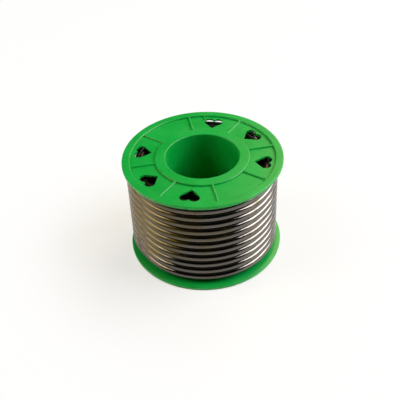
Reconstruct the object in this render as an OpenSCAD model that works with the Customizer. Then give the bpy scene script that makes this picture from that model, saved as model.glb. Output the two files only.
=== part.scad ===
// Spool of thick solder wire: two moulded reel halves pressed together, and the wire wound on them.
// Axis on Z, standing on its lower flange, origin in the middle of that flange's outer face.

/* [Reel] */
// Outside diameter of both flanges
flange_d = 60; // [56:0.5:80]
// Height over both flanges
reel_h = 40.6; // [30:0.2:60]
// Diameter of the bore through the reel
bore_d = 27.5; // [20:0.5:29]
// Wall of the sleeve that lines the bore
sleeve_wall = 1.3; // [1:0.1:1.8]
// Wall of the barrel that the wire is wound on
barrel_wall = 1.6; // [1.2:0.1:2]

/* [Flanges] */
// Width of the raised rim
rim_w = 3; // [2:0.1:4]
// Thickness of the rim at its outer edge
rim_edge_t = 1.1; // [0.8:0.1:1.4]
// Width of the raised ring round the bore
hub_ring_w = 3.95; // [3.6:0.05:5]
// Thickness of the web between rim and ring
web_t = 0.8; // [0.7:0.1:1.4]
// Depth of the web below the rim
field_depth = 0.7; // [0.5:0.1:1.2]
// Width of the taper under the rim
taper_w = 1.6; // [0.8:0.1:2.5]
// Radius of the moulded edges
edge_r = 0.4; // [0.1:0.05:0.45]

/* [Ribs and windows] */
// Sectors between the ribs
sector_count = 8; // [4:1:9]
// Sectors that have no window
blank_sectors = [2, 6];
// Angle of the first rib about the axis
rib_turn = 9.6; // [0:0.1:45]
// Width of a rib at its foot
rib_w = 1.1; // [0.8:0.1:2]
// Width of a rib at its top
rib_top_w = 0.7; // [0.4:0.1:0.8]
// Drop of the ribs below the rim
rib_drop = 0.1; // [0:0.05:0.3]
// Width of a heart window
heart_w = 7.4; // [6:0.1:8.4]
// Radius of the heart's lobes
heart_lobe_r = 2; // [1.9:0.1:2.2]
// Distance from a heart's lobes to the rim
heart_rim_gap = 1.2; // [0.8:0.1:2]
// Distance from a heart's tip to the ring round the bore
heart_hub_gap = 1.6; // [0.8:0.1:2.4]
// Angle from a window's middle to the tick rib beside it
tick_angle = 8.9; // [8.9:0.1:12]
// Length of the tick rib
tick_l = 2.4; // [1:0.1:4]
// Width of the tick rib
tick_w = 0.4; // [0.3:0.1:0.6]

/* [Joint between the halves] */
// Radial clearance between sleeve and barrel
sleeve_gap = 0.1; // [0.05:0.01:0.2]
// Gap between the barrel's end and the upper flange
butt_gap = 0.05; // [0.02:0.01:0.2]
// Height of the snap bead on the sleeve
bead_h = 0.35; // [0.2:0.05:0.5]
// Distance of the bead from the lower face
bead_z = 4; // [3:0.5:8]
// Half length of the bead's foot
bead_foot = 1; // [0.6:0.1:1.5]
// Half length of the bead's crest
bead_crest = 0.3; // [0.1:0.1:0.5]
// Keys that stop the halves turning on each other
key_count = 4; // [2:1:8]
// Width of a key
key_w = 3; // [2:0.5:5]
// Length of a key along the axis
key_l = 3; // [2:0.5:6]

/* [Wire] */
// Diameter of the solder wire
wire_d = 3; // [2:0.1:4]
// Gap between neighbouring turns
turn_gap = 0.2; // [0.2:0.05:0.6]
// Distance from the flanges' edge down to the outer layer
winding_margin = 1.9; // [1:0.1:6]
// Clearance round the inner layers
layer_gap = 0.1; // [0.05:0.01:0.3]
// Angle at which the outer layer starts, under the upper flange
start_turn = 213; // [0:1:359]
// Arc over which each turn steps down to the next
cross_arc = 45; // [30:15:90]
// Arc between the end of that step and the start angle
cross_lead = 15; // [15:15:45]
// Rise of the wire where it steps over the layer below
cross_rise = 0.5; // [0:0.05:0.6]
// Arc of the last turn, up to the cut end
last_arc = 270; // [90:15:285]

/* [Hidden] */
$fn = 96;
plastic = "#2EAF3F";
solder = "#8C877F";

// How finely edges are rounded and the wire is drawn
edge_steps = 4;
loop_rings = 24;
ring_sides = 6;
cut_over = 1;

// Radii and heights that follow from the sizes above
flange_r = flange_d / 2;
bore_r = bore_d / 2;
hub_r = bore_r + hub_ring_w;
rim_in_r = flange_r - rim_w;
flange_t = field_depth + web_t;
drum_l = reel_h - 2 * flange_t;
sleeve_r = bore_r + sleeve_wall;
socket_r = sleeve_r + sleeve_gap;
barrel_r = socket_r + barrel_wall;
edge_chamfer = edge_r / 2;
sector_arc = 360 / sector_count;

// Heart window: where its tip and lobes lie along X
heart_tip_x = hub_r + heart_hub_gap;
heart_lobe_x = rim_in_r - heart_rim_gap - heart_lobe_r;
heart_lobe_y = heart_w / 2 - heart_lobe_r;

// Centre line of the wire in the outer layer
wire_r = wire_d / 2;
turn_pitch = wire_d + turn_gap;
turn_count = floor((drum_l - wire_d) / turn_pitch) + 1;
turn_r = flange_r - winding_margin - wire_r;
top_turn_z = reel_h / 2 + turn_pitch * (turn_count - 1) / 2;
ring_arc = 360 / loop_rings;
last_ring = (turn_count - 1) * loop_rings + round(last_arc / ring_arc);
inner_layers_r = (turn_r - wire_r) * cos(ring_arc / 2) - layer_gap;

// Quarter round about [x, y], from angle a0 to a1
function quarter(x, y, a0, a1) = [
    for (i = [0:edge_steps])
        let (a = a0 + (a1 - a0) * i / edge_steps)
            [x + edge_r * cos(a), y + edge_r * sin(a)]
];

// Outline of a flange from its hub ring out to the taper under the rim, with depth along Y
function flange_outline() = concat(
    quarter(hub_r - edge_r, edge_r, -90, 0),
    [[hub_r, field_depth], [rim_in_r, field_depth]],
    quarter(rim_in_r + edge_r, edge_r, 180, 270),
    quarter(flange_r - edge_r, edge_r, -90, 0),
    [
        [flange_r, rim_edge_t - edge_chamfer],
        [flange_r - edge_chamfer, rim_edge_t],
        [flange_r - taper_w, flange_t]
    ]
);

// Outline of the snap bead on a wall of radius r, longer by g at each end for its groove
function bead_outline(r, g) = [
    [r, bead_z + bead_foot + g],
    [r + bead_h, bead_z + bead_crest + g],
    [r + bead_h, bead_z - bead_crest - g],
    [r, bead_z - bead_foot - g]
];

// Heart with its tip towards the axis: two round lobes and the straight sides that meet them
module heart() {
    lobe_dist = heart_lobe_x - heart_tip_x;
    tip_dist = norm([lobe_dist, heart_lobe_y]);
    side_l = sqrt(tip_dist * tip_dist - heart_lobe_r * heart_lobe_r);
    side_angle = atan2(heart_lobe_y, lobe_dist) + asin(heart_lobe_r / tip_dist);
    side_end = [heart_tip_x + side_l * cos(side_angle), side_l * sin(side_angle)];
    for (side = [-1, 1])
        translate([heart_lobe_x, side * heart_lobe_y]) circle(heart_lobe_r);
    polygon([
        [heart_tip_x, 0],
        side_end,
        [heart_lobe_x, heart_lobe_y],
        [heart_lobe_x, -heart_lobe_y],
        [side_end[0], -side_end[1]]
    ]);
}

// Windows through a flange, in every sector that isn't blank
module windows() {
    for (i = [0:sector_count - 1])
        if (len(search(i, blank_sectors)) == 0)
            rotate([0, 0, rib_turn + sector_arc * (i + 0.5)])
                translate([0, 0, -cut_over])
                    linear_extrude(flange_t + 2 * cut_over) heart();
}

// Ribs with sloping sides, from the hub ring to the rim
module ribs() {
    foot = web_t / 2;
    for (i = [0:sector_count - 1])
        rotate([0, 0, rib_turn + sector_arc * i])
            translate([hub_r - edge_r, 0, 0])
                rotate([90, 0, 90])
                    linear_extrude(rim_in_r - hub_r + 2 * edge_r)
                        polygon([
                            [-rib_w / 2, field_depth + foot],
                            [-rib_w / 2, field_depth],
                            [-rib_top_w / 2, rib_drop],
                            [rib_top_w / 2, rib_drop],
                            [rib_w / 2, field_depth],
                            [rib_w / 2, field_depth + foot]
                        ]);
}

// Short thin rib against the inside of the rim, beside one window
module tick_rib() {
    rotate([0, 0, rib_turn + sector_arc * 1.5 + tick_angle])
        translate([rim_in_r - tick_l, -tick_w / 2, rib_drop])
            cube([tick_l + edge_r, tick_w, field_depth - rib_drop + web_t / 2]);
}

// Keys round the sleeve under the upper flange, or their notches when grown by g
module keys(g) {
    for (i = [0:key_count - 1])
        rotate([0, 0, 360 / key_count * i])
            translate([sleeve_r - sleeve_wall / 2, -key_w / 2 - g, flange_t - web_t / 2])
                cube([flange_r, key_w + 2 * g, key_l + web_t / 2 + g]);
}

// Puts what is drawn with its outer face at Z = 0 at the upper end of the reel
module at_upper_end() {
    translate([0, 0, reel_h]) mirror([0, 0, 1]) children();
}

module upper_reel_half() {
    bead = [for (p = bead_outline(sleeve_r, 0)) [p[0], reel_h - p[1]]];
    color(plastic)
        at_upper_end() {
            difference() {
                union() {
                    rotate_extrude()
                        polygon(concat(
                            quarter(bore_r + edge_r, edge_r, 180, 270),
                            flange_outline(),
                            [[sleeve_r, flange_t]],
                            bead,
                            [[sleeve_r, reel_h - edge_chamfer], [sleeve_r - edge_chamfer, reel_h]],
                            quarter(bore_r + edge_r, reel_h - edge_r, 90, 180)
                        ));
                    ribs();
                    tick_rib();
                    intersection() {
                        keys(0);
                        cylinder(h = reel_h, r = barrel_r);
                    }
                }
                windows();
            }
        }
}

module lower_reel_half() {
    barrel_top = reel_h - flange_t - butt_gap;
    color(plastic)
        difference() {
            union() {
                rotate_extrude()
                    polygon(concat(
                        [[socket_r + edge_chamfer, 0]],
                        flange_outline(),
                        [[barrel_r, flange_t], [barrel_r, barrel_top], [socket_r, barrel_top]],
                        bead_outline(socket_r, sleeve_gap),
                        [[socket_r, edge_chamfer]]
                    ));
                ribs();
            }
            windows();
            at_upper_end() keys(sleeve_gap);
        }
}

// Everything under the outer layer, as one plain ring between the flanges
module inner_solder_layers() {
    color(solder)
        translate([0, 0, flange_t + layer_gap])
            difference() {
                cylinder(h = drum_l - 2 * layer_gap, r = inner_layers_r);
                translate([0, 0, -cut_over])
                    cylinder(h = drum_l + 2 * cut_over, r = barrel_r + layer_gap);
            }
}

// How far a turn has stepped down, from 0 to 1, at angle a from the start
function cross_part(a) =
    min(1, max(0, (a - 360 * floor(a / 360) - 360 + cross_lead + cross_arc) / cross_arc));
function eased(u) = u * u * (3 - 2 * u);

// Ring of points round the wire at angle a from the start, moved by s along the wire
function wire_ring(a, s) =
    let (
        t = start_turn + a,
        out = [cos(t), sin(t), 0],
        along = [-sin(t), cos(t), 0],
        r = turn_r + cross_rise * sin(180 * cross_part(a)),
        z = top_turn_z - turn_pitch * (floor(a / 360) + eased(cross_part(a)))
    ) [
        for (j = [0:ring_sides - 1])
            let (b = 360 * j / ring_sides)
                (r + wire_r * cos(b)) * out + s * along + [0, 0, z + wire_r * sin(b)]
    ];

// Outer layer: level turns that each step down to the next, in one tube with straight cut ends
module outer_solder_layer() {
    rings = concat(
        [wire_ring(0, -wire_d)],
        [for (i = [0:last_ring]) wire_ring(ring_arc * i, 0)],
        [wire_ring(ring_arc * last_ring, wire_d)]
    );
    last = len(rings) - 1;
    points = [for (ring = rings) for (p = ring) p];
    sides = [
        for (i = [0:last - 1])
            for (j = [0:ring_sides - 1])
                let (
                    a = ring_sides * i + j,
                    b = ring_sides * i + (j + 1) % ring_sides
                )
                    each [[a, b + ring_sides, a + ring_sides], [a, b, b + ring_sides]]
    ];
    start_cap = [for (j = [1:ring_sides - 2]) [0, j + 1, j]];
    end = ring_sides * last;
    end_cap = [for (j = [1:ring_sides - 2]) [end, end + j, end + j + 1]];
    color(solder) polyhedron(points, concat(sides, start_cap, end_cap));

    gaps = [
        for (i = [0:last - loop_rings + 2])
            for (k = [i + loop_rings - 2:min(last, i + loop_rings + 2)])
                for (p = rings[i])
                    for (q = rings[k])
                        norm(p - q)
    ];
    echo("Least gap between turns, mm", min(gaps));
}

upper_reel_half();
lower_reel_half();
inner_solder_layers();
outer_solder_layer();
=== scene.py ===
import math

import bmesh
import bpy
from mathutils import Matrix, Vector, noise


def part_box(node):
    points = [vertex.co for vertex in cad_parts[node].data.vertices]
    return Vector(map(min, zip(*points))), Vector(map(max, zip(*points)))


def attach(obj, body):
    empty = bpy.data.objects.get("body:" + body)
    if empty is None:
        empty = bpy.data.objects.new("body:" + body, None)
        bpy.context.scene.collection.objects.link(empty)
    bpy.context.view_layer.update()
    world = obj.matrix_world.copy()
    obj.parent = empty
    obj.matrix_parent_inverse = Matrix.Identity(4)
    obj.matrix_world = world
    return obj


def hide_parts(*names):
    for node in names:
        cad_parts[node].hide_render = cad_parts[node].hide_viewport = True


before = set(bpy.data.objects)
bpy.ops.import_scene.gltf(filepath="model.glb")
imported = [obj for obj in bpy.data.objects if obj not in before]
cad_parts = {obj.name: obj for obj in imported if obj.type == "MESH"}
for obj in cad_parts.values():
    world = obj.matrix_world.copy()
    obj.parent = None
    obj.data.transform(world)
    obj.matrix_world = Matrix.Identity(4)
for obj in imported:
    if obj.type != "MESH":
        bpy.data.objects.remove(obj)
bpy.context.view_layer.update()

mm = 0.001
tiny = 1e-6  # nearer than this counts as the same place
fullTurn = 2 * math.pi

cameraSetup = {
    "lens": 61.24,  # millimetres
    "sensor": 36,
    "clip": (0.01, 20),
    "distance": 0.2658,
    "elevation": 39.8,  # degrees above the bench
    "roll": -2.97,
    "aim": (-0.00171, 0.0, 0.01914),
}


def makeCamera(setup):
    data = bpy.data.cameras.new("camera")
    data.sensor_width = setup["sensor"]
    data.lens = setup["lens"]
    data.clip_start, data.clip_end = setup["clip"]
    camera = bpy.data.objects.new("camera", data)
    bpy.context.scene.collection.objects.link(camera)
    tilt = math.radians(setup["elevation"])
    back = Vector((0, -math.cos(tilt), math.sin(tilt)))
    up = Vector((0, math.sin(tilt), math.cos(tilt)))
    turn = Matrix((Vector((1, 0, 0)), up, back)).transposed().to_4x4()
    place = Matrix.Translation(Vector(setup["aim"]) + back * setup["distance"])
    camera.matrix_world = place @ turn @ Matrix.Rotation(math.radians(setup["roll"]), 4, "Z")
    bpy.context.scene.camera = camera


makeCamera(cameraSetup)
print("camera set")


def newPiece(name, bm):
    mesh = bpy.data.meshes.new(name)
    bm.to_mesh(mesh)
    bm.free()
    piece = bpy.data.objects.new(name, mesh)
    bpy.context.scene.collection.objects.link(piece)
    return piece


def workIn(piece):
    # Works the piece's modifiers into its mesh
    graph = bpy.context.evaluated_depsgraph_get()
    mesh = bpy.data.meshes.new_from_object(piece.evaluated_get(graph))
    piece.modifiers.clear()
    piece.data = mesh


def combine(piece, tool, operation):
    change = piece.modifiers.new(operation, "BOOLEAN")
    change.operation = operation
    change.solver = "EXACT"
    change.object = tool
    workIn(piece)
    bpy.data.objects.remove(tool)


def roundEdges(bm, edges, radius, segments):
    bmesh.ops.bevel(bm, geom=edges, offset=radius, offset_type="OFFSET", affect="EDGES",
                    segments=segments, profile=0.5, material=-1, clamp_overlap=True)


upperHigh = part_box("upper_reel_half")[1]

# Both halves of the reel; depths are measured from a flange's outer face into the reel
reel = {
    "radius": upperHigh.x,
    "height": upperHigh.z,
    "boreRadius": 13.75 * mm,
    "sleeveRadius": 15.05 * mm,
    "socketRadius": 15.15 * mm,
    "barrelRadius": 16.75 * mm,
    "hubRadius": 17.7 * mm,
    "rimInside": 27.0 * mm,
    "fieldDepth": 0.7 * mm,
    "webThickness": 0.8 * mm,
    "rimEdge": 1.1 * mm,
    "taperWidth": 1.6 * mm,
    "buttGap": 0.05 * mm,
    "edgeRound": 0.35 * mm,
    "roundSteps": 4,
    "fineRound": 0.19 * mm,  # windows, and where ribs meet the walls
    "fineSteps": 2,
    "roundFrom": math.radians(40),  # edges that turn more than this get the fine round
    "shadeFrom": math.radians(50),  # edges that turn more than this stay sharp in the shading
    "turnSteps": 192,
    "sectors": 8,
    "blankSectors": (2, 6),
    "ribTurn": math.radians(9.6),
    "ribWidth": 1.15 * mm,
    "ribTopWidth": 0.8 * mm,
    "ribDepth": 0.12 * mm,
    "ribRound": 0.3 * mm,
    "toolSpare": 1 * mm,  # how far a cutting tool stands out
}
reel["flangeThickness"] = reel["fieldDepth"] + reel["webThickness"]
sectorArc = fullTurn / reel["sectors"]

heart = {
    "tip": 19.3 * mm,
    "lobeCentre": 23.8 * mm,
    "lobeSide": 1.7 * mm,
    "lobeRadius": 2.0 * mm,
    "lobeSteps": 14,
}

tick = {
    "turn": math.radians(86.0),
    "length": 2.4 * mm,
    "width": 0.4 * mm,
}

# How the halves hold each other, inside the reel
joint = {
    "beadPlace": 4.0 * mm,
    "beadHeight": 0.35 * mm,
    "beadFoot": 1.0 * mm,
    "beadCrest": 0.3 * mm,
    "gap": 0.1 * mm,
    "keys": 4,
    "keyWidth": 3.0 * mm,
    "keyLength": 3.0 * mm,
}


def corner(centre, radius, fromDegrees, toDegrees):
    # Points round a moulded edge, as (radius, depth)
    steps = reel["roundSteps"]
    sweep = toDegrees - fromDegrees
    angles = [math.radians(fromDegrees + sweep * i / steps) for i in range(steps + 1)]
    return [(centre[0] + radius * math.cos(a), centre[1] + radius * math.sin(a)) for a in angles]


def flangeOutline():
    # From the hub ring out to the taper under the rim, as (radius, depth)
    edge = reel["edgeRound"]
    half = edge / 2
    return (corner((reel["hubRadius"] - edge, edge), edge, -90, 0)
            + [(reel["hubRadius"], reel["fieldDepth"]), (reel["rimInside"], reel["fieldDepth"])]
            + corner((reel["rimInside"] + edge, edge), edge, 180, 270)
            + corner((reel["radius"] - edge, edge), edge, -90, 0)
            + corner((reel["radius"] - half, reel["rimEdge"] - half), half, 0, 60)
            + [(reel["radius"] - reel["taperWidth"], reel["flangeThickness"])])


def beadOutline(radius, grown):
    # The snap bead on a sleeve, or grown by the gap the groove for it, as (radius, height)
    place, height = joint["beadPlace"], joint["beadHeight"]
    foot, crest = joint["beadFoot"] + grown, joint["beadCrest"] + grown
    return [(radius, place + foot), (radius + height, place + crest),
            (radius + height, place - crest), (radius, place - foot)]


def turned(outline):
    # A closed outline of (radius, height) points, spun about Z, with its seam under a rib
    bm = bmesh.new()
    turn = Matrix.Rotation(reel["ribTurn"], 4, "Z")
    verts = [bm.verts.new(turn @ Vector((r, 0, z))) for r, z in outline]
    edges = [bm.edges.new(pair) for pair in zip(verts, verts[1:] + verts[:1])]
    bmesh.ops.spin(bm, geom=verts + edges, cent=(0, 0, 0), axis=(0, 0, 1), angle=fullTurn,
                   steps=reel["turnSteps"], use_merge=True)
    bmesh.ops.recalc_face_normals(bm, faces=bm.faces)
    return bm


def openSectors(bm, height):
    # Leaves one face to each sector of the web, with its seams under the ribs
    shortest = 1 * mm
    nearRib = 1e-4  # radians
    seams = []
    for edge in bm.edges:
        a, b = (v.co for v in edge.verts)
        level = abs(a.z - height) < tiny and abs(b.z - height) < tiny
        if not level or abs(a.xy.length - b.xy.length) < shortest:
            continue
        sector = (math.atan2(a.y, a.x) - reel["ribTurn"]) / sectorArc
        if abs(sector - round(sector)) * sectorArc > nearRib:
            seams.append(edge)
    bmesh.ops.dissolve_edges(bm, edges=seams, use_verts=False)


def ribBar(bm, turn, inner, outer, foot, top, footWidth, topWidth, topRound=0.0):
    # A radial bar between two heights, with sloping sides and, where asked, a rounded top
    middle = ((inner + outer) / 2, 0, (top + foot) / 2)
    place = Matrix.Rotation(turn, 4, "Z") @ Matrix.Translation(middle)
    size = Matrix.Diagonal((outer - inner, footWidth, abs(foot - top), 1))
    verts = bmesh.ops.create_cube(bm, size=1, matrix=size)["verts"]
    upper = [v for v in verts if v.co.z * (top - foot) > 0]
    ridges = [e for e in bm.edges if all(v in upper for v in e.verts)
              and abs(e.verts[0].co.y - e.verts[1].co.y) < tiny]
    bmesh.ops.scale(bm, vec=(1, topWidth / footWidth, 1), verts=upper)
    bmesh.ops.transform(bm, matrix=place, verts=verts)
    if topRound:
        roundEdges(bm, ridges, topRound, reel["roundSteps"])


def ribTool(outerFace, inward, withTick):
    # The ribs of one flange; inward is -1 or 1, the way from its outer face into the reel
    bm = bmesh.new()
    top = outerFace + inward * reel["ribDepth"]
    foot = outerFace + inward * (reel["fieldDepth"] + reel["webThickness"] / 2)
    inner, outer = reel["hubRadius"] - reel["edgeRound"], reel["rimInside"] + reel["edgeRound"]
    for i in range(reel["sectors"]):
        ribBar(bm, reel["ribTurn"] + i * sectorArc, inner, outer, foot, top,
               reel["ribWidth"], reel["ribTopWidth"], reel["ribRound"])
    if withTick:
        ribBar(bm, tick["turn"], outer - tick["length"], outer, foot, top,
               tick["width"], tick["width"])
    return newPiece("ribTool", bm)


def heartOutline():
    # Tip towards the axis, straight sides that meet two round lobes
    reach = math.hypot(heart["lobeCentre"] - heart["tip"], heart["lobeSide"])
    lean = (math.atan2(heart["lobeSide"], heart["lobeCentre"] - heart["tip"])
            + math.asin(heart["lobeRadius"] / reach))
    start = lean + math.pi / 2
    cleft = -math.asin(heart["lobeSide"] / heart["lobeRadius"])
    lobe = []
    for i in range(heart["lobeSteps"] + 1):
        a = start + (cleft - start) * i / heart["lobeSteps"]
        lobe.append((heart["lobeCentre"] + heart["lobeRadius"] * math.cos(a),
                     heart["lobeSide"] + heart["lobeRadius"] * math.sin(a)))
    return [(heart["tip"], 0.0)] + lobe + [(x, -y) for x, y in reversed(lobe[:-1])]


def heartTool(outerFace, inward):
    bm = bmesh.new()
    spare = reel["toolSpare"]
    low = min(outerFace, outerFace + inward * reel["flangeThickness"]) - spare
    for i in range(reel["sectors"]):
        if i in reel["blankSectors"]:
            continue
        turn = Matrix.Rotation(reel["ribTurn"] + (i + 0.5) * sectorArc, 4, "Z")
        face = bm.faces.new([bm.verts.new(turn @ Vector((x, y, low))) for x, y in heartOutline()])
        grown = bmesh.ops.extrude_face_region(bm, geom=[face])["geom"]
        bmesh.ops.translate(bm, vec=(0, 0, reel["flangeThickness"] + 2 * spare),
                            verts=[v for v in grown if isinstance(v, bmesh.types.BMVert)])
    bmesh.ops.recalc_face_normals(bm, faces=bm.faces)
    return newPiece("heartTool", bm)


def keyTool(gap, reach):
    # Bars through the sleeve's wall under the upper flange; grown by gap they cut the notches
    bm = bmesh.new()
    inner = (reel["boreRadius"] + reel["sleeveRadius"]) / 2
    top = reel["height"] - reel["flangeThickness"] + reel["webThickness"] / 2
    foot = reel["height"] - reel["flangeThickness"] - joint["keyLength"] - gap
    width = joint["keyWidth"] + 2 * gap
    for i in range(joint["keys"]):
        ribBar(bm, fullTurn * i / joint["keys"], inner, reach, foot, top, width, width)
    return newPiece("keyTool", bm)


def finishReelHalf(piece, material, node):
    bm = bmesh.new()
    bm.from_mesh(piece.data)
    sharp = [e for e in bm.edges if e.is_manifold and e.calc_face_angle() > reel["roundFrom"]]
    roundEdges(bm, sharp, reel["fineRound"], reel["fineSteps"])
    bm.to_mesh(piece.data)
    bm.free()
    for face in piece.data.polygons:
        face.use_smooth = True
    piece.data.set_sharp_from_angle(angle=reel["shadeFrom"])
    weigh = piece.modifiers.new("weigh", "WEIGHTED_NORMAL")
    weigh.keep_sharp = True
    weigh.weight = 100  # only the large faces count
    piece.data.materials.clear()
    piece.data.materials.append(material)
    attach(piece, "root")
    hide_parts(node)


def makeUpperHalf(material):
    top = reel["height"]
    sleeve, bore, edge = reel["sleeveRadius"], reel["boreRadius"], reel["edgeRound"]
    outline = [(r, top - d) for r, d in corner((bore + edge, edge), edge, 180, 270) + flangeOutline()
               + [(sleeve, reel["flangeThickness"])]]
    outline += beadOutline(sleeve, 0) + [(sleeve, edge / 2), (sleeve - edge / 2, 0)]
    outline += corner((bore + edge, edge), edge, 270, 180)
    bm = turned(outline)
    openSectors(bm, top - reel["fieldDepth"])
    openSectors(bm, top - reel["flangeThickness"])
    piece = newPiece("upperReelHalf", bm)
    combine(piece, ribTool(top, -1, True), "UNION")
    combine(piece, keyTool(0, reel["barrelRadius"]), "UNION")
    combine(piece, heartTool(top, -1), "DIFFERENCE")
    finishReelHalf(piece, material, "upper_reel_half")


def makeLowerHalf(material):
    barrel, socket, edge = reel["barrelRadius"], reel["socketRadius"], reel["edgeRound"]
    barrelEnd = reel["height"] - reel["flangeThickness"] - reel["buttGap"]
    outline = [(socket + edge / 2, 0)] + flangeOutline()
    outline += [(barrel, reel["flangeThickness"]), (barrel, barrelEnd), (socket, barrelEnd)]
    outline += beadOutline(socket, joint["gap"]) + [(socket, edge / 2)]
    bm = turned(outline)
    openSectors(bm, reel["fieldDepth"])
    openSectors(bm, reel["flangeThickness"])
    piece = newPiece("lowerReelHalf", bm)
    combine(piece, ribTool(0.0, 1, False), "UNION")
    combine(piece, keyTool(joint["gap"], reel["radius"]), "DIFFERENCE")
    combine(piece, heartTool(0.0, 1), "DIFFERENCE")
    finishReelHalf(piece, material, "lower_reel_half")


wire = {
    "radius": 1.5 * mm,
    "layers": ((18.3 * mm, 12), (21.1 * mm, 11), (23.8 * mm, 12)),  # inner ones: radius and turns
    "outerRadius": 26.6 * mm,
    "outerTurns": 11,
    "pitch": 3.2 * mm,
    "startTurn": math.radians(208),  # where the outer layer comes up under the upper flange
    "climbArc": math.radians(34),
    "climb": 2.7 * mm,
    "crossFrom": math.radians(152),  # each turn steps down to the next between these
    "crossTo": math.radians(209),
    "crossRise": (0.75 * mm, 1.1 * mm),  # over the layer below, at the first and the last turn
    "endTurn": math.radians(123),
    "waver": 0.05 * mm,  # how far the laid wire strays
    "waverLength": 14 * mm,
    "waverOut": (1.0, 0.31, 1.7),  # place in the noise: along the wire, from turn to turn, and its start
    "waverLift": (0.7, 0.23, 9.1),
    "endRound": 0.15 * mm,
    "endSteps": 2,
    "endGap": 0.5 * mm,  # between the inner layers' ends and the flanges
    "sides": 24,
    "innerSides": 12,
    "pointsPerTurn": 120,
    "innerPointsPerTurn": 72,
}


def eased(u):
    u = min(1.0, max(0.0, u))
    return u * u * (3 - 2 * u)


def onTurn(radius, angle, height, turnIndex):
    # A point of the wire's line, with the small wander of a wound wire
    place = radius * angle / wire["waverLength"]
    out, lift = (noise.noise(Vector((place * along, turnIndex * byTurn, start))) * wire["waver"]
                 for along, byTurn, start in (wire["waverOut"], wire["waverLift"]))
    return ((radius + out) * math.cos(angle), (radius + out) * math.sin(angle), height + lift)


def topTurnHeight():
    return reel["height"] / 2 + wire["pitch"] * (wire["outerTurns"] - 1) / 2


def outerPath():
    topTurn = topTurnHeight()
    step = fullTurn / wire["pointsPerTurn"]
    start = wire["startTurn"] - wire["climbArc"]
    end = wire["endTurn"] + fullTurn * wire["outerTurns"]
    firstRise, lastRise = wire["crossRise"]
    points = []
    for i in range(int((end - start) / step) + 1):
        angle = start + i * step
        turnIndex = max(0.0, (angle - wire["startTurn"]) / fullTurn)
        whole = math.floor(angle / fullTurn)
        across = (angle % fullTurn - wire["crossFrom"]) / (wire["crossTo"] - wire["crossFrom"])
        across = min(1.0, max(0.0, across))
        if whole == 0:
            across = 1.0
        z = topTurn - wire["pitch"] * (whole - 1 + eased(across))
        rise = firstRise + (lastRise - firstRise) * turnIndex / wire["outerTurns"]
        r = wire["outerRadius"] + rise * math.sin(math.pi * across)
        r -= wire["climb"] * (1 - eased((angle - start) / wire["climbArc"]))
        points.append(onTurn(r, angle, z, turnIndex))
    return points


def innerPath():
    # Layer by layer out from the barrel, up, down and up again, ending where the outer layer starts
    low = reel["flangeThickness"] + wire["radius"] + wire["endGap"]
    high = reel["height"] - low
    spare = (high - low) / (2 * wire["layers"][0][1])  # the middle layer lies in the grooves of the others
    stops = []  # (turns so far, radius, height)
    turns = 0.0
    for number, (radius, count) in enumerate(wire["layers"]):
        inset = 0 if number % 2 == 0 else spare
        ends = (low + inset, high - inset)
        if number % 2:
            ends = ends[::-1]
        stops.append((turns, radius, ends[0]))
        turns += count - 1
        stops.append((turns, radius, ends[1]))
        turns += 1
    stops.append((turns, wire["outerRadius"] - wire["climb"], topTurnHeight()))
    lastAngle = wire["startTurn"] - wire["climbArc"]
    steps = wire["innerPointsPerTurn"]
    points = []
    for (t0, r0, z0), (t1, r1, z1) in zip(stops, stops[1:]):
        for i in range(int(round((t1 - t0) * steps))):
            u = i / ((t1 - t0) * steps)
            angle = lastAngle + (t0 + (t1 - t0) * u - turns) * fullTurn
            r = r0 + (r1 - r0) * eased(u)
            points.append((r * math.cos(angle), r * math.sin(angle), z0 + (z1 - z0) * u))
    r, z = stops[-1][1:]
    points.append((r * math.cos(lastAngle), r * math.sin(lastAngle), z))
    return points


def tube(name, points, radius, sides):
    # A round wire along the points; "drawn" says how far along it and where across it each vertex is
    curve = bpy.data.curves.new(name, "CURVE")
    curve.dimensions = "3D"
    curve.bevel_depth = radius
    curve.bevel_resolution = sides // 2 - 2  # gives that many sides
    line = curve.splines.new("POLY")
    line.points.add(len(points) - 1)
    for point, place in zip(line.points, points):
        point.co = (*place, 1)
    holder = bpy.data.objects.new(name + "Line", curve)
    bpy.context.scene.collection.objects.link(holder)
    graph = bpy.context.evaluated_depsgraph_get()
    mesh = bpy.data.meshes.new_from_object(holder.evaluated_get(graph))
    bpy.data.objects.remove(holder)

    bm = bmesh.new()
    bm.from_mesh(mesh)
    bm.verts.ensure_lookup_table()
    drawn = bm.verts.layers.float_vector.new("drawn")
    travelled = 0.0
    for ring, place in enumerate(points):
        if ring:
            travelled += (Vector(place) - Vector(points[ring - 1])).length
        for side in range(sides):
            angle = fullTurn * side / sides
            across = (radius * math.cos(angle), radius * math.sin(angle))
            bm.verts[ring * sides + side][drawn] = (travelled, *across)
    rims = [edge for edge in bm.edges if edge.is_boundary]
    bmesh.ops.holes_fill(bm, edges=rims, sides=0)
    roundEdges(bm, rims, wire["endRound"], wire["endSteps"])
    bmesh.ops.recalc_face_normals(bm, faces=bm.faces)
    for face in bm.faces:
        face.smooth = len(face.verts) < sides
    return newPiece(name, bm)


def makeWire(outerSolder, innerSolder):
    for name, points, sides, node, material in (
            ("outerSolderLayer", outerPath(), wire["sides"], "outer_solder_layer", outerSolder),
            ("innerSolderLayers", innerPath(), wire["innerSides"], "inner_solder_layers", innerSolder)):
        piece = tube(name, points, wire["radius"], sides)
        piece.data.materials.append(material)
        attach(piece, "root")
        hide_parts(node)


def linear(hexColour):
    parts = [int(hexColour[i:i + 2], 16) / 255 for i in (1, 3, 5)]
    return [c / 12.92 if c <= 0.04045 else ((c + 0.055) / 1.055) ** 2.4 for c in parts] + [1.0]


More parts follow.
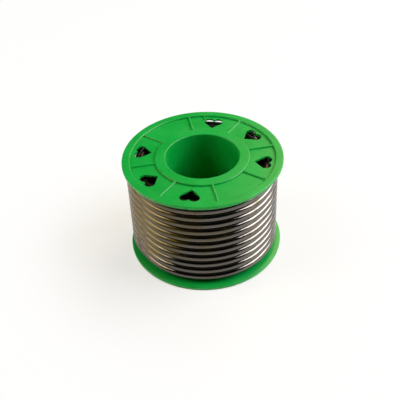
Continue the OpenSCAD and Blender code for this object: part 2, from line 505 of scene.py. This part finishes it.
def addNode(tree, kind, settings=None, links=None):
    # Settings and links go to sockets by name or number, other settings to the node itself
    node = tree.nodes.new(kind)
    for name, value in (settings or {}).items():
        if isinstance(name, int) or name in node.inputs:
            node.inputs[name].default_value = value
        else:
            setattr(node, name, value)
    for name, source in (links or {}).items():
        tree.links.new(source, node.inputs[name])
    return node


def startMaterial(name):
    material = bpy.data.materials.new(name)
    material.use_nodes = True
    tree = material.node_tree
    tree.nodes.clear()
    return material, tree


def patches(tree, where, size, edges, detail=2.0):
    # Soft patches of about the given size: 0 between them, 1 inside
    spots = addNode(tree, "ShaderNodeTexNoise", {"Scale": 1 / size, "Detail": detail}, {"Vector": where})
    return addNode(tree, "ShaderNodeMapRange", {
        "interpolation_type": "SMOOTHSTEP",
        "From Min": edges[0],
        "From Max": edges[1],
    }, {"Value": spots.outputs[0]}).outputs[0]


plasticLook = {
    "deep": "#009C3A",
    "pale": "#05A441",
    "cloudSize": 9 * mm,  # flow marks of the melt
    "cloudEdges": (0.3, 0.7),
    "grain": 0.45 * mm,  # the mould's satin grain is finer, drawn coarse to show
    "grainDepth": 0.012 * mm,
    "handledSize": 5 * mm,  # patches dulled by hands
    "handledEdges": (0.35, 0.7),
    "roughness": (0.32, 0.42),  # untouched and handled
}


def mouldedPolystyrene():
    # Polystyrene from a satin mould: an even deep green, a soft sheen broken by grain, faint flow clouds
    # and duller patches where it was handled
    look = plasticLook
    material, tree = startMaterial("mouldedPolystyrene")
    place = addNode(tree, "ShaderNodeTexCoord").outputs["Object"]
    clouds = patches(tree, place, look["cloudSize"], look["cloudEdges"])
    handled = patches(tree, place, look["handledSize"], look["handledEdges"], 4.0)
    grain = addNode(tree, "ShaderNodeTexNoise", {
        "Scale": 1 / look["grain"],
        "Detail": 3.0,
    }, {"Vector": place})
    skin = addNode(tree, "ShaderNodeBump", {"Distance": look["grainDepth"]}, {"Height": grain.outputs[0]})
    colour = addNode(tree, "ShaderNodeMix", {
        "data_type": "RGBA",
        6: linear(look["deep"]),
        7: linear(look["pale"]),
    }, {0: clouds})
    roughness = addNode(tree, "ShaderNodeMapRange", {
        "To Min": look["roughness"][0],
        "To Max": look["roughness"][1],
    }, {"Value": handled})
    surface = addNode(tree, "ShaderNodeBsdfPrincipled", {"IOR": 1.5, "Specular IOR Level": 0.5}, {
        "Base Color": colour.outputs[2],
        "Roughness": roughness.outputs[0],
        "Normal": skin.outputs[0],
    })
    addNode(tree, "ShaderNodeOutputMaterial", {}, {"Surface": surface.outputs[0]})
    return material


outerLook = {
    # Painted highlight and shade: the metal is brighter towards +X, where the right lamps are reflected,
    # and darker towards −X
    "litSideMetal": "#7E7973",
    "shadedSideMetal": "#5E5954",
    "litSideRamp": (6 * mm, 22 * mm),  # along X, where the darker metal goes over into the brighter: painted highlight on the side the right lamps light
    "tarnished": "#4F4420",
    "stainCentre": (-20 * mm, -18 * mm, 27 * mm),  # the largest patch of dried flux
    "stainSize": 30 * mm,
    "stainStrength": 0.58,
    "tarnishSize": 8 * mm,
    "tarnishEdges": (0.52, 0.85),
    "lineLength": 14 * mm,  # lines left by the drawing die
    "lineWidth": 0.3 * mm,  # they are finer, drawn coarse to show
    "lineDepth": 0.006 * mm,
    "dentSize": 3 * mm,
    "dentEdges": (0.3, 0.8),
    "dentDepth": 0.03 * mm,
    "roughness": (0.10, 0.34),  # bare metal and tarnish
    "varnish": 0.75,  # dried flux, over the tarnish
    "varnishRoughness": 0.12,
}

# The turns underneath take a darker, duller copy of the metal: painted shade for the dark inside of the
# reel under the flanges
innerPaintedShadeLook = dict(outerLook, litSideMetal="#3A3634", shadedSideMetal="#3A3634", tarnished="#2E2923",
                 roughness=(0.34, 0.48), varnish=0.0)


def drawnSolder(name, look):
    # Drawn tin-lead wire: a soft bright metal with lines along it and shallow dents from winding, a colour
    # painted darker towards −X and brighter towards +X as a painted highlight where the right lamps are
    # reflected, and olive tarnish in patches under clear dried flux, which keeps a thin white glint on the
    # dull ground
    material, tree = startMaterial(name)
    place = addNode(tree, "ShaderNodeTexCoord").outputs["Object"]
    along = addNode(tree, "ShaderNodeAttribute", {"attribute_name": "drawn"}).outputs["Vector"]
    stretched = addNode(tree, "ShaderNodeMapping", {
        "Scale": (1 / look["lineLength"], 1 / look["lineWidth"], 1 / look["lineWidth"]),
    }, {"Vector": along})
    lines = addNode(tree, "ShaderNodeTexNoise", {
        "Scale": 1.0,
        "Detail": 2.0,
    }, {"Vector": stretched.outputs[0]})
    fromStain = addNode(tree, "ShaderNodeVectorMath", {
        "operation": "DISTANCE",
        1: look["stainCentre"],
    }, {0: place})
    stain = addNode(tree, "ShaderNodeMapRange", {
        "From Min": 0.0,
        "From Max": look["stainSize"],
        "To Min": look["stainStrength"],
        "To Max": 0.0,
    }, {"Value": fromStain.outputs["Value"]}).outputs[0]
    film = addNode(tree, "ShaderNodeTexNoise", {
        "Scale": 1 / look["tarnishSize"],
        "Detail": 3.0,
    }, {"Vector": place})
    both = addNode(tree, "ShaderNodeMath", {"operation": "ADD"}, {0: film.outputs[0], 1: stain})
    tarnish = addNode(tree, "ShaderNodeMapRange", {
        "interpolation_type": "SMOOTHSTEP",
        "From Min": look["tarnishEdges"][0],
        "From Max": look["tarnishEdges"][1],
    }, {"Value": both.outputs[0]}).outputs[0]
    # Painted highlight and shade: along X the metal colour goes from darker towards −X to brighter towards
    # +X
    across = addNode(tree, "ShaderNodeSeparateXYZ", {}, {0: place}).outputs["X"]
    litShare = addNode(tree, "ShaderNodeMapRange", {
        "interpolation_type": "SMOOTHSTEP",
        "From Min": look["litSideRamp"][0],
        "From Max": look["litSideRamp"][1],
    }, {"Value": across}).outputs[0]
    metal = addNode(tree, "ShaderNodeMix", {
        "data_type": "RGBA",
        6: linear(look["shadedSideMetal"]),
        7: linear(look["litSideMetal"]),
    }, {0: litShare})
    colour = addNode(tree, "ShaderNodeMix", {
        "data_type": "RGBA",
        7: linear(look["tarnished"]),
    }, {0: tarnish, 6: metal.outputs[2]})
    roughness = addNode(tree, "ShaderNodeMapRange", {
        "To Min": look["roughness"][0],
        "To Max": look["roughness"][1],
    }, {"Value": tarnish})
    varnish = addNode(tree, "ShaderNodeMapRange", {"To Max": look["varnish"]}, {"Value": tarnish})
    dents = patches(tree, along, look["dentSize"], look["dentEdges"], 1.0)
    drawnSkin = addNode(tree, "ShaderNodeBump", {
        "Distance": look["lineDepth"],
    }, {"Height": lines.outputs[0]})
    skin = addNode(tree, "ShaderNodeBump", {"Distance": look["dentDepth"]}, {
        "Height": dents,
        "Normal": drawnSkin.outputs[0],
    })
    surface = addNode(tree, "ShaderNodeBsdfPrincipled", {
        "Metallic": 1.0,
        "Coat Roughness": look["varnishRoughness"],
    }, {
        "Base Color": colour.outputs[2],
        "Roughness": roughness.outputs[0],
        "Coat Weight": varnish.outputs[0],
        "Normal": skin.outputs[0],
    })
    addNode(tree, "ShaderNodeOutputMaterial", {}, {"Surface": surface.outputs[0]})
    return material


# Paper, lit by the lamps and, past the reel's foot, partly shown as plain white, so that only a pale
# shadow stays on it
paper = {
    "colour": "#F0F0F0",
    "roughness": 0.9,
    "whiteness": (0.62, 0.96),  # share of plain white near the object and far from it
    "reach": (30 * mm, 85 * mm),  # near and far, from the axis
    "size": 3.0,  # half its side, in metres
    "drop": 0.02 * mm,  # clear of the reel's foot
}


def makeFloor():
    bm = bmesh.new()
    bmesh.ops.create_grid(bm, x_segments=1, y_segments=1, size=paper["size"])
    bmesh.ops.translate(bm, verts=bm.verts, vec=(0, 0, -paper["drop"]))
    floor = newPiece("floor", bm)
    material, tree = startMaterial("whitePaper")
    surface = addNode(tree, "ShaderNodeBsdfPrincipled", {
        "Base Color": linear(paper["colour"]),
        "Roughness": paper["roughness"],
    })
    rays = addNode(tree, "ShaderNodeLightPath").outputs
    seen = rays["Is Camera Ray"]
    for ray in ("Is Glossy Ray", "Is Transmission Ray"):
        seen = addNode(tree, "ShaderNodeMath", {"operation": "MAXIMUM"}, {0: seen, 1: rays[ray]}).outputs[0]
    place = addNode(tree, "ShaderNodeTexCoord").outputs["Object"]
    away = addNode(tree, "ShaderNodeVectorMath", {"operation": "LENGTH"}, {0: place}).outputs["Value"]
    whiteness = addNode(tree, "ShaderNodeMapRange", {
        "interpolation_type": "SMOOTHSTEP",
        "From Min": paper["reach"][0],
        "From Max": paper["reach"][1],
        "To Min": paper["whiteness"][0],
        "To Max": paper["whiteness"][1],
    }, {"Value": away}).outputs[0]
    outside = addNode(tree, "ShaderNodeMath", {
        "operation": "GREATER_THAN",
        1: reel["radius"],
    }, {0: away}).outputs[0]
    share = seen
    for part in (whiteness, outside):
        share = addNode(tree, "ShaderNodeMath", {"operation": "MULTIPLY"}, {0: share, 1: part}).outputs[0]
    white = addNode(tree, "ShaderNodeEmission", {"Strength": 1.0}).outputs[0]
    both = addNode(tree, "ShaderNodeMixShader", {}, {0: share, 1: surface.outputs[0], 2: white})
    addNode(tree, "ShaderNodeOutputMaterial", {}, {"Surface": both.outputs[0]})
    floor.data.materials.append(material)


# Direction is azimuth and elevation in degrees, seen from the object; size and distance in metres
lamps = {
    "key": {"direction": (60, 40), "distance": 0.55, "size": (0.24, 0.34),
            "power": 1.2, "colour": "#FFEAB4"},
    "sideRight": {"direction": (1, 39), "distance": 0.5, "size": (0.44, 0.34),
                  "power": 3.1, "colour": "#FFFFFF"},
    "sideLeft": {"direction": (182, 43), "distance": 0.5, "size": (0.28, 0.20),
                 "power": 1.35, "colour": "#FFF0D0"},
    "lowRight": {"direction": (357, 7), "distance": 0.55, "size": (0.76, 0.10),
                 "power": 0.25, "colour": "#F8F6FF"},
    "lowLeft": {"direction": (172, 8), "distance": 0.55, "size": (0.56, 0.10),
                "power": 0.68, "colour": "#FFE8C0"},
}
lampAim = Vector((0, 0, 20 * mm))  # the middle of the object


def makeLamps():
    for name, setup in lamps.items():
        data = bpy.data.lights.new(name, "AREA")
        data.shape = "RECTANGLE"
        data.size, data.size_y = setup["size"]
        data.energy = setup["power"]
        data.color = linear(setup["colour"])[:3]
        lamp = bpy.data.objects.new(name, data)
        bpy.context.scene.collection.objects.link(lamp)
        azimuth, elevation = (math.radians(a) for a in setup["direction"])
        level = math.cos(elevation)
        way = Vector((math.cos(azimuth) * level, math.sin(azimuth) * level, math.sin(elevation)))
        lamp.location = lampAim + way * setup["distance"]
        lamp.rotation_euler = (-way).to_track_quat("-Z", "Y").to_euler()
        lamp.visible_camera = False


# The room: walls pale up to a height, a little less so on the right, and a dark ceiling
room = {
    "colour": "#FFFFFF",
    "wallGlow": (0.55, 0.4),  # on the left and on the right
    "wallChange": (0.1, 0.9),  # where along X one goes over into the other
    "ceilingGlow": 0.01,
    "darkens": (0.04, 0.34),  # from wall to ceiling, as sines of the elevation
}


def makeWorld():
    world = bpy.data.worlds.new("studio")
    bpy.context.scene.world = world
    world.use_nodes = True
    tree = world.node_tree
    tree.nodes.clear()
    way = addNode(tree, "ShaderNodeTexCoord")
    parts = addNode(tree, "ShaderNodeSeparateXYZ", {}, {0: way.outputs["Generated"]})
    walls = addNode(tree, "ShaderNodeMapRange", {
        "interpolation_type": "SMOOTHSTEP",
        "From Min": room["wallChange"][0],
        "From Max": room["wallChange"][1],
        "To Min": room["wallGlow"][0],
        "To Max": room["wallGlow"][1],
    }, {"Value": parts.outputs["X"]})
    glow = addNode(tree, "ShaderNodeMapRange", {
        "interpolation_type": "SMOOTHSTEP",
        "From Min": room["darkens"][0],
        "From Max": room["darkens"][1],
        "To Max": room["ceilingGlow"],
    }, {"Value": parts.outputs["Z"], "To Min": walls.outputs["Result"]})
    sky = addNode(tree, "ShaderNodeBackground", {
        "Color": linear(room["colour"]),
    }, {"Strength": glow.outputs["Result"]})
    addNode(tree, "ShaderNodeOutputWorld", {}, {"Surface": sky.outputs[0]})


plastic = mouldedPolystyrene()
makeUpperHalf(plastic)
makeLowerHalf(plastic)
print("reel halves made")
# The inner layers get a darkened copy of the solder, which is painted shade
makeWire(drawnSolder("drawnSolder", outerLook), drawnSolder("innerSolderPaintedShade", innerPaintedShadeLook))
print("wire wound")
makeFloor()
makeLamps()
makeWorld()
bpy.context.scene.view_settings.view_transform = "Standard"
print("studio set")
